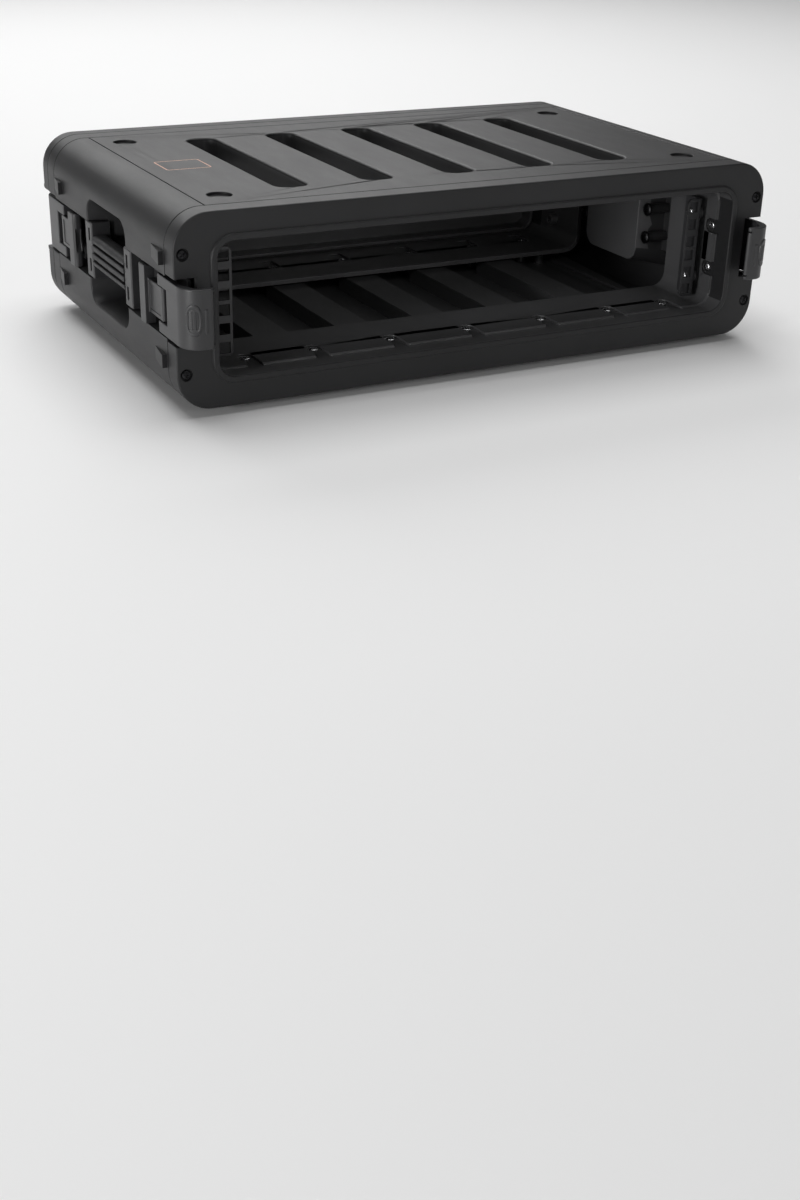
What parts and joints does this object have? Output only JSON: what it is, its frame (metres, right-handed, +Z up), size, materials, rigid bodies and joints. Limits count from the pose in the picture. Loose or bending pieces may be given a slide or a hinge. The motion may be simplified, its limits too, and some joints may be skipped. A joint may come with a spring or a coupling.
{
  "type": "equipment rack case",
  "caption": "Low stackable moulded rack case with steel rails in an open front, a latched rear lid, side grips and snap latches.",
  "frame": {"origin": "on the ground under the centre of the case", "axes": "+X to the right seen from the open front, +Y towards the rear lid, +Z up"},
  "size_m": [0.5804, 0.372, 0.165],
  "materials": {
    "shell_plastic": "fine moulded texture, satin",
    "latch_plastic": "smooth satin",
    "grip_rubber": "soft ribbed grip",
    "foot_rubber": "matt",
    "seal_foam": "closed-cell foam",
    "rail_steel": "black powder coat",
    "fastener_steel": "zinc-plated cross-recess heads",
    "pin_steel": "bright"
  },
  "bodies": {
    "case": {"bottom_panel": "shell_plastic", "foot_screws": "fastener_steel", "frame_corner_screws": "fastener_steel", "frame_lip_screws": "fastener_steel", "frame_side_screws": "fastener_steel", "front_frame": "shell_plastic", "front_left_foot": "foot_rubber", "front_left_latch_base": "latch_plastic", "front_left_latch_base_pin": "pin_steel", "front_right_foot": "foot_rubber", "front_right_latch_base": "latch_plastic", "front_right_latch_base_pin": "pin_steel", "handle_bolts": "fastener_steel", "latch_screws": "fastener_steel", "left_handle_frame": "latch_plastic", "left_handle_grip": "grip_rubber", "left_rack_rail": "rail_steel", "left_side_panel": "shell_plastic", "rail_screws": "fastener_steel", "rear_frame": "shell_plastic", "rear_left_foot": "foot_rubber", "rear_left_latch_base": "latch_plastic", "rear_left_latch_base_pin": "pin_steel", "rear_right_foot": "foot_rubber", "rear_right_latch_base": "latch_plastic", "rear_right_latch_base_pin": "pin_steel", "right_handle_frame": "latch_plastic", "right_handle_grip": "grip_rubber", "right_rack_rail": "rail_steel", "right_side_panel": "shell_plastic", "top_panel": "shell_plastic"},
    "front_left_lever": {"front_left_latch_lever": "latch_plastic", "front_left_latch_hook_pin": "pin_steel"},
    "front_left_hook": {"front_left_latch_hook": "latch_plastic"},
    "front_right_lever": {"front_right_latch_lever": "latch_plastic", "front_right_latch_hook_pin": "pin_steel"},
    "front_right_hook": {"front_right_latch_hook": "latch_plastic"},
    "rear_left_lever": {"rear_left_latch_lever": "latch_plastic", "rear_left_latch_hook_pin": "pin_steel"},
    "rear_left_hook": {"rear_left_latch_hook": "latch_plastic"},
    "rear_right_lever": {"rear_right_latch_lever": "latch_plastic", "rear_right_latch_hook_pin": "pin_steel"},
    "rear_right_hook": {"rear_right_latch_hook": "latch_plastic"},
    "rear_lid": {"rear_lid": "shell_plastic", "rear_lid_gasket": "seal_foam"}
  },
  "joints": [
    {"name": "front_left_lever_hinge", "type": "hinge", "parent": "case", "child": "front_left_lever", "pos_m": [-0.2762, -0.1363, 0.0865], "axis": [0, 0, 1], "range_deg": [0, 90]},
    {"name": "front_left_hook_hinge", "type": "hinge", "parent": "front_left_lever", "child": "front_left_hook", "pos_m": [-0.2776, -0.1283, 0.0865], "axis": [0, 0, 1], "range_deg": [-122, 0]},
    {"name": "front_right_lever_hinge", "type": "hinge", "parent": "case", "child": "front_right_lever", "pos_m": [0.2762, -0.1363, 0.0865], "axis": [0, 0, -1], "range_deg": [0, 90]},
    {"name": "front_right_hook_hinge", "type": "hinge", "parent": "front_right_lever", "child": "front_right_hook", "pos_m": [0.2776, -0.1283, 0.0865], "axis": [0, 0, -1], "range_deg": [-122, 0]},
    {"name": "rear_left_lever_hinge", "type": "hinge", "parent": "case", "child": "rear_left_lever", "pos_m": [-0.2762, 0.1363, 0.0865], "axis": [0, 0, -1], "range_deg": [0, 90]},
    {"name": "rear_left_hook_hinge", "type": "hinge", "parent": "rear_left_lever", "child": "rear_left_hook", "pos_m": [-0.2776, 0.1283, 0.0865], "axis": [0, 0, -1], "range_deg": [-122, 0]},
    {"name": "rear_right_lever_hinge", "type": "hinge", "parent": "case", "child": "rear_right_lever", "pos_m": [0.2762, 0.1363, 0.0865], "axis": [0, 0, 1], "range_deg": [0, 90]},
    {"name": "rear_right_hook_hinge", "type": "hinge", "parent": "rear_right_lever", "child": "rear_right_hook", "pos_m": [0.2776, 0.1283, 0.0865], "axis": [0, 0, 1], "range_deg": [-122, 0]},
    {"name": "rear_lid_slide", "type": "slide", "parent": "case", "child": "rear_lid", "axis": [0, 1, 0], "range_m": [0, 0.008]}
  ],
  "couplings": [
    {"joint": "front_left_hook_hinge", "follows": "front_left_lever_hinge", "ratio": -1.35},
    {"joint": "front_right_hook_hinge", "follows": "front_right_lever_hinge", "ratio": -1.35},
    {"joint": "rear_left_lever_hinge", "follows": "rear_lid_slide", "rad_per_m": 196.35},
    {"joint": "rear_left_hook_hinge", "follows": "rear_lid_slide", "rad_per_m": -265.07},
    {"joint": "rear_right_lever_hinge", "follows": "rear_lid_slide", "rad_per_m": 196.35},
    {"joint": "rear_right_hook_hinge", "follows": "rear_lid_slide", "rad_per_m": -265.07}
  ]
}
